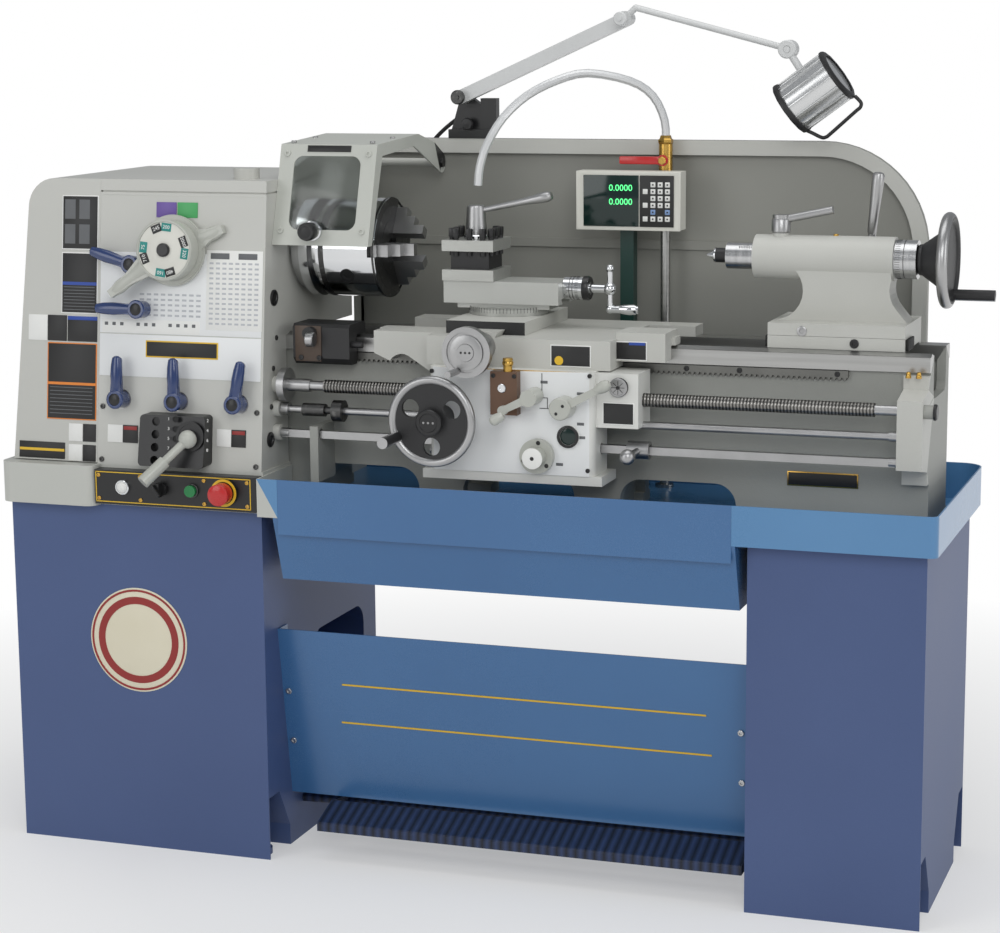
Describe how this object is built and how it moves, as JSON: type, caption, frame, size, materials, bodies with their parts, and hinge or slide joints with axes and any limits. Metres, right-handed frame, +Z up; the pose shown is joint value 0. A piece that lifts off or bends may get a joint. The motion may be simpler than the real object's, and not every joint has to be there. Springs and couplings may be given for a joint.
{
  "type": "gearhead lathe",
  "caption": "Floor-standing gearhead engine lathe on two pedestals with chip pan, three-jaw chuck, carriage, tailstock, splash guard, readout and work lamp.",
  "frame": {"origin": "floor level under the middle of the machine's box", "axes": "+X from headstock to tailstock, +Y from the operator to the back, +Z up"},
  "size_m": [1.821, 0.6725, 1.5869],
  "materials": {
    "pedestal_blue": "fine texture",
    "pan_blue": "satin",
    "drawer_blue": "satin",
    "bed_grey": "satin",
    "body_grey": "satin",
    "splash_grey": "satin",
    "cream_casting": "painted",
    "bright_steel": "ground",
    "dark_steel": "oiled",
    "lever_steel": "satin",
    "lever_navy": "gloss",
    "stop_brown": "satin",
    "black_paint": "satin",
    "lamp_arm_grey": "satin",
    "tread_blue": "satin",
    "black_plastic": "matte",
    "green_plastic": "gloss",
    "red_plastic": "gloss",
    "lamp_grey": "painted",
    "readout_plastic": "matte",
    "pipe_metal": "satin",
    "valve_red": "gloss",
    "cable_rubber": "matte"
  },
  "bodies": {
    "frame": {"left_pedestal": "pedestal_blue", "right_pedestal": "pedestal_blue", "chip_pan": "pan_blue", "kick_panel": "drawer_blue", "bed": "bed_grey", "headstock": "body_grey", "splash_guard": "splash_grey", "readout": "readout_plastic", "coolant_line": "pipe_metal", "lamp_cable": "cable_rubber"},
    "spindle_unit": {"spindle": "bright_steel", "chuck_body": "bright_steel"},
    "carriage": {"saddle": "cream_casting", "apron": "cream_casting"},
    "chip_drawer": {"chip_drawer": "drawer_blue"},
    "brake_pedal": {"brake_pedal": "tread_blue"},
    "end_cover": {"end_cover": "body_grey"},
    "mode_switch": {"mode_switch": "black_plastic"},
    "start_button": {"start_button": "green_plastic"},
    "stop_button": {"stop_button": "red_plastic"},
    "speed_dial": {"speed_dial": "body_grey"},
    "range_lever": {"range_lever": "body_grey"},
    "thread_lever_upper": {"thread_lever_upper": "lever_navy"},
    "thread_lever_lower": {"thread_lever_lower": "lever_navy"},
    "feed_lever_left": {"feed_lever_left": "lever_navy"},
    "feed_lever_middle": {"feed_lever_middle": "lever_navy"},
    "feed_lever_right": {"feed_lever_right": "lever_navy"},
    "selector_lever": {"selector_lever": "bright_steel"},
    "idler_gear": {"idler_gear": "dark_steel"},
    "chuck_jaw_1": {"chuck_jaw_1": "dark_steel"},
    "chuck_jaw_2": {"chuck_jaw_2": "dark_steel"},
    "chuck_jaw_3": {"chuck_jaw_3": "dark_steel"},
    "chuck_guard": {"chuck_guard": "body_grey"},
    "leadscrew": {"leadscrew": "bright_steel"},
    "feed_rod": {"feed_rod": "bright_steel"},
    "control_rod": {"control_rod": "bright_steel"},
    "control_lever": {"control_lever": "black_paint"},
    "carriage_stop": {"carriage_stop": "stop_brown"},
    "apron_handwheel": {"apron_handwheel": "bright_steel"},
    "cross_slide": {"cross_slide": "cream_casting"},
    "cross_slide_wheel": {"cross_slide_wheel": "bright_steel"},
    "compound_base": {"compound_base": "bright_steel"},
    "compound_slide": {"compound_slide": "cream_casting"},
    "compound_crank": {"compound_crank": "bright_steel"},
    "tool_post": {"tool_post": "bright_steel"},
    "tool_post_lever": {"tool_post_lever": "bright_steel"},
    "apron_feed_lever": {"apron_feed_lever": "lever_steel"},
    "half_nut_lever": {"half_nut_lever": "lever_steel"},
    "feed_knob": {"feed_knob": "black_plastic"},
    "thread_dial": {"thread_dial": "bright_steel"},
    "tailstock": {"tailstock": "cream_casting"},
    "quill": {"quill": "bright_steel"},
    "live_center": {"live_center": "bright_steel"},
    "tailstock_wheel": {"tailstock_wheel": "bright_steel"},
    "quill_lock_lever": {"quill_lock_lever": "lever_steel"},
    "tailstock_clamp_lever": {"tailstock_clamp_lever": "lever_steel"},
    "valve_handle": {"valve_handle": "valve_red"},
    "lamp_arm": {"lamp_arm": "lamp_arm_grey"},
    "lamp_rod": {"lamp_rod": "lamp_arm_grey"},
    "lamp_head": {"lamp_head": "lamp_grey"}
  },
  "joints": [
    {"name": "drawer_pull", "type": "slide", "parent": "frame", "child": "chip_drawer", "axis": [0, -1, 0], "range_m": [0, 0.33]},
    {"name": "brake_pedal_press", "type": "hinge", "parent": "frame", "child": "brake_pedal", "pos_m": [-0.3825, -0.05, 0.075], "axis": [1, 0, 0], "range_deg": [0, 12], "stiffness_Nm_per_rad": 22, "springref_deg": -22.92},
    {"name": "end_cover_swing", "type": "hinge", "parent": "frame", "child": "end_cover", "pos_m": [-0.7178, 0.244, 1], "axis": [0, 0, 1], "range_deg": [-95, 0]},
    {"name": "spindle_turn", "type": "hinge", "parent": "frame", "child": "spindle_unit", "pos_m": [-0.5055, 0.015, 1.143], "axis": [1, 0, 0], "continuous": true},
    {"name": "idler_turn", "type": "hinge", "parent": "frame", "child": "idler_gear", "pos_m": [-0.7445, -0.0708, 1.0127], "axis": [1, 0, 0], "continuous": true},
    {"name": "leadscrew_turn", "type": "hinge", "parent": "frame", "child": "leadscrew", "pos_m": [-0.2795, -0.145, 0.9], "axis": [1, 0, 0], "continuous": true},
    {"name": "feed_rod_turn", "type": "hinge", "parent": "frame", "child": "feed_rod", "pos_m": [-0.2795, -0.145, 0.855], "axis": [1, 0, 0], "continuous": true},
    {"name": "jaw_1_travel", "type": "slide", "parent": "spindle_unit", "child": "chuck_jaw_1", "axis": [0, 0.5, 0.866], "range_m": [0, 0.012]},
    {"name": "jaw_2_travel", "type": "slide", "parent": "spindle_unit", "child": "chuck_jaw_2", "axis": [0, -1, 0], "range_m": [0, 0.012]},
    {"name": "jaw_3_travel", "type": "slide", "parent": "spindle_unit", "child": "chuck_jaw_3", "axis": [0, 0.5, -0.866], "range_m": [0, 0.012]},
    {"name": "chuck_guard_lift", "type": "hinge", "parent": "frame", "child": "chuck_guard", "pos_m": [-0.2855, 0.246, 1.288], "axis": [1, 0, 0], "range_deg": [-60, 0]},
    {"name": "speed_dial_turn", "type": "hinge", "parent": "frame", "child": "speed_dial", "pos_m": [-0.5635, -0.17328, 1.146], "axis": [0, -0.9946, 0.1035], "range_deg": [-40, 40]},
    {"name": "range_lever_turn", "type": "hinge", "parent": "frame", "child": "range_lever", "pos_m": [-0.5635, -0.17328, 1.146], "axis": [0, -0.9946, 0.1035], "range_deg": [-20, 20]},
    {"name": "thread_lever_upper_turn", "type": "hinge", "parent": "frame", "child": "thread_lever_upper", "pos_m": [-0.6415, -0.17619, 1.118], "axis": [0, -0.9946, 0.1035], "range_deg": [-25, 25]},
    {"name": "thread_lever_lower_turn", "type": "hinge", "parent": "frame", "child": "thread_lever_lower", "pos_m": [-0.6265, -0.18472, 1.036], "axis": [0, -0.9946, 0.1035], "range_deg": [-25, 25]},
    {"name": "feed_lever_left_turn", "type": "hinge", "parent": "frame", "child": "feed_lever_left", "pos_m": [-0.6675, -0.2022, 0.868], "axis": [0, -0.9946, 0.1035], "range_deg": [-25, 25]},
    {"name": "feed_lever_middle_turn", "type": "hinge", "parent": "frame", "child": "feed_lever_middle", "pos_m": [-0.5495, -0.2022, 0.868], "axis": [0, -0.9946, 0.1035], "range_deg": [-25, 25]},
    {"name": "feed_lever_right_turn", "type": "hinge", "parent": "frame", "child": "feed_lever_right", "pos_m": [-0.4275, -0.2022, 0.868], "axis": [0, -0.9946, 0.1035], "range_deg": [-25, 25]},
    {"name": "selector_swing", "type": "hinge", "parent": "frame", "child": "selector_lever", "pos_m": [-0.5075, -0.25694, 0.808], "axis": [0, -0.9946, 0.1035], "range_deg": [-8, 8]},
    {"name": "mode_switch_turn", "type": "hinge", "parent": "frame", "child": "mode_switch", "pos_m": [-0.5725, -0.24, 0.709], "axis": [0, -1, 0], "range_deg": [-45, 45]},
    {"name": "start_button_press", "type": "slide", "parent": "frame", "child": "start_button", "axis": [0, 1, 0], "range_m": [0, 0.004], "stiffness_N_per_m": 500, "springref_m": -0.001},
    {"name": "stop_button_press", "type": "slide", "parent": "frame", "child": "stop_button", "axis": [0, 1, 0], "range_m": [0, 0.004], "stiffness_N_per_m": 600, "springref_m": -0.001},
    {"name": "carriage_travel", "type": "slide", "parent": "frame", "child": "carriage", "axis": [1, 0, 0], "range_m": [-0.0181, 0.0721]},
    {"name": "apron_handwheel_turn", "type": "hinge", "parent": "carriage", "child": "apron_handwheel", "pos_m": [-0.0305, -0.23, 0.862], "axis": [0, 1, 0], "range_deg": [-360, 1440]},
    {"name": "cross_slide_travel", "type": "slide", "parent": "carriage", "child": "cross_slide", "axis": [0, 1, 0], "range_m": [-0.0351, 0.0601]},
    {"name": "cross_slide_wheel_turn", "type": "hinge", "parent": "carriage", "child": "cross_slide_wheel", "pos_m": [0.0345, -0.2, 0.987], "axis": [0, 1, 0], "range_deg": [-2520, 4320]},
    {"name": "compound_swivel", "type": "hinge", "parent": "cross_slide", "child": "compound_base", "pos_m": [0.0255, 0.015, 1.03], "axis": [0, 0, 1], "range_deg": [-30, 30]},
    {"name": "compound_travel", "type": "slide", "parent": "compound_base", "child": "compound_slide", "axis": [1, 0, 0], "range_m": [-0.01, 0.03]},
    {"name": "compound_crank_turn", "type": "hinge", "parent": "compound_slide", "child": "compound_crank", "pos_m": [0.1545, 0.015, 1.0766], "axis": [1, 0, 0], "range_deg": [-722, 2162]},
    {"name": "tool_post_turn", "type": "hinge", "parent": "compound_slide", "child": "tool_post", "pos_m": [-0.0385, 0.015, 1.1], "axis": [0, 0, 1], "range_deg": [-90, 90]},
    {"name": "tool_post_lever_turn", "type": "hinge", "parent": "tool_post", "child": "tool_post_lever", "pos_m": [-0.0385, 0.015, 1.17], "axis": [0, 0, 1], "range_deg": [-40, 40]},
    {"name": "apron_feed_lever_turn", "type": "hinge", "parent": "carriage", "child": "apron_feed_lever", "pos_m": [0.1445, -0.195, 0.908], "axis": [0, -1, 0], "range_deg": [-50, 0]},
    {"name": "half_nut_lever_turn", "type": "hinge", "parent": "carriage", "child": "half_nut_lever", "pos_m": [0.1995, -0.195, 0.89], "axis": [0, -1, 0], "range_deg": [-30, 0]},
    {"name": "feed_knob_turn", "type": "hinge", "parent": "carriage", "child": "feed_knob", "pos_m": [0.1485, -0.195, 0.8], "axis": [0, -1, 0], "range_deg": [-60, 60]},
    {"name": "thread_dial_turn", "type": "hinge", "parent": "carriage", "child": "thread_dial", "pos_m": [0.2935, -0.18, 0.926], "axis": [0, -1, 0], "continuous": true},
    {"name": "control_lever_tilt", "type": "hinge", "parent": "carriage", "child": "control_lever", "pos_m": [0.3205, -0.145, 0.81], "axis": [1, 0, 0], "range_deg": [-15, 15]},
    {"name": "control_rod_tilt", "type": "hinge", "parent": "frame", "child": "control_rod", "pos_m": [-0.0055, -0.145, 0.81], "axis": [1, 0, 0], "range_deg": [-15.1, 15.1]},
    {"name": "carriage_stop_travel", "type": "slide", "parent": "frame", "child": "carriage_stop", "axis": [1, 0, 0], "range_m": [-0.02, 0.005]},
    {"name": "tailstock_travel", "type": "slide", "parent": "frame", "child": "tailstock", "axis": [1, 0, 0], "range_m": [-0.05, 0.04]},
    {"name": "quill_travel", "type": "slide", "parent": "tailstock", "child": "quill", "axis": [1, 0, 0], "range_m": [-0.0701, 0.0001]},
    {"name": "tailstock_wheel_turn", "type": "hinge", "parent": "tailstock", "child": "tailstock_wheel", "pos_m": [0.7945, 0.015, 1.143], "axis": [1, 0, 0], "range_deg": [-5040, 0]},
    {"name": "live_center_turn", "type": "hinge", "parent": "quill", "child": "live_center", "pos_m": [0.4245, 0.015, 1.143], "axis": [1, 0, 0], "continuous": true},
    {"name": "quill_lock_turn", "type": "hinge", "parent": "tailstock", "child": "quill_lock_lever", "pos_m": [0.5355, 0.015, 1.19], "axis": [0, 0, 1], "range_deg": [-40, 40]},
    {"name": "tailstock_clamp_turn", "type": "hinge", "parent": "tailstock", "child": "tailstock_clamp_lever", "pos_m": [0.6745, 0.066, 1.062], "axis": [0, 1, 0], "range_deg": [-15, 15]},
    {"name": "coolant_valve_turn", "type": "hinge", "parent": "frame", "child": "valve_handle", "pos_m": [0.2615, 0.223, 1.298], "axis": [0, 1, 0], "range_deg": [0, 90]},
    {"name": "lamp_arm_tilt", "type": "hinge", "parent": "frame", "child": "lamp_arm", "pos_m": [-0.1525, 0.26, 1.414], "axis": [0, 1, 0], "range_deg": [-25, 1]},
    {"name": "lamp_rod_tilt", "type": "hinge", "parent": "lamp_arm", "child": "lamp_rod", "pos_m": [0.18055, 0.245, 1.56089], "axis": [0, 1, 0], "range_deg": [-25, 1]},
    {"name": "lamp_head_tilt", "type": "hinge", "parent": "lamp_rod", "child": "lamp_head", "pos_m": [0.49646, 0.227, 1.50324], "axis": [0, 1, 0], "range_deg": [-25, 25]}
  ],
  "couplings": [
    {"joint": "idler_turn", "follows": "spindle_turn", "ratio": -0.68182},
    {"joint": "leadscrew_turn", "follows": "spindle_turn", "ratio": 1.5},
    {"joint": "feed_rod_turn", "follows": "spindle_turn", "ratio": 0.75},
    {"joint": "thread_dial_turn", "follows": "spindle_turn", "ratio": 0.046875},
    {"joint": "jaw_2_travel", "follows": "jaw_1_travel", "ratio": 1},
    {"joint": "jaw_3_travel", "follows": "jaw_1_travel", "ratio": 1},
    {"joint": "carriage_travel", "follows": "apron_handwheel_turn", "m_per_rad": 0.0028648},
    {"joint": "cross_slide_travel", "follows": "cross_slide_wheel_turn", "m_per_rad": 0.00079577},
    {"joint": "compound_crank_turn", "follows": "compound_travel", "rad_per_m": 1256.6},
    {"joint": "quill_travel", "follows": "tailstock_wheel_turn", "m_per_rad": 0.00079577},
    {"joint": "control_rod_tilt", "follows": "control_lever_tilt", "ratio": 1}
  ]
}
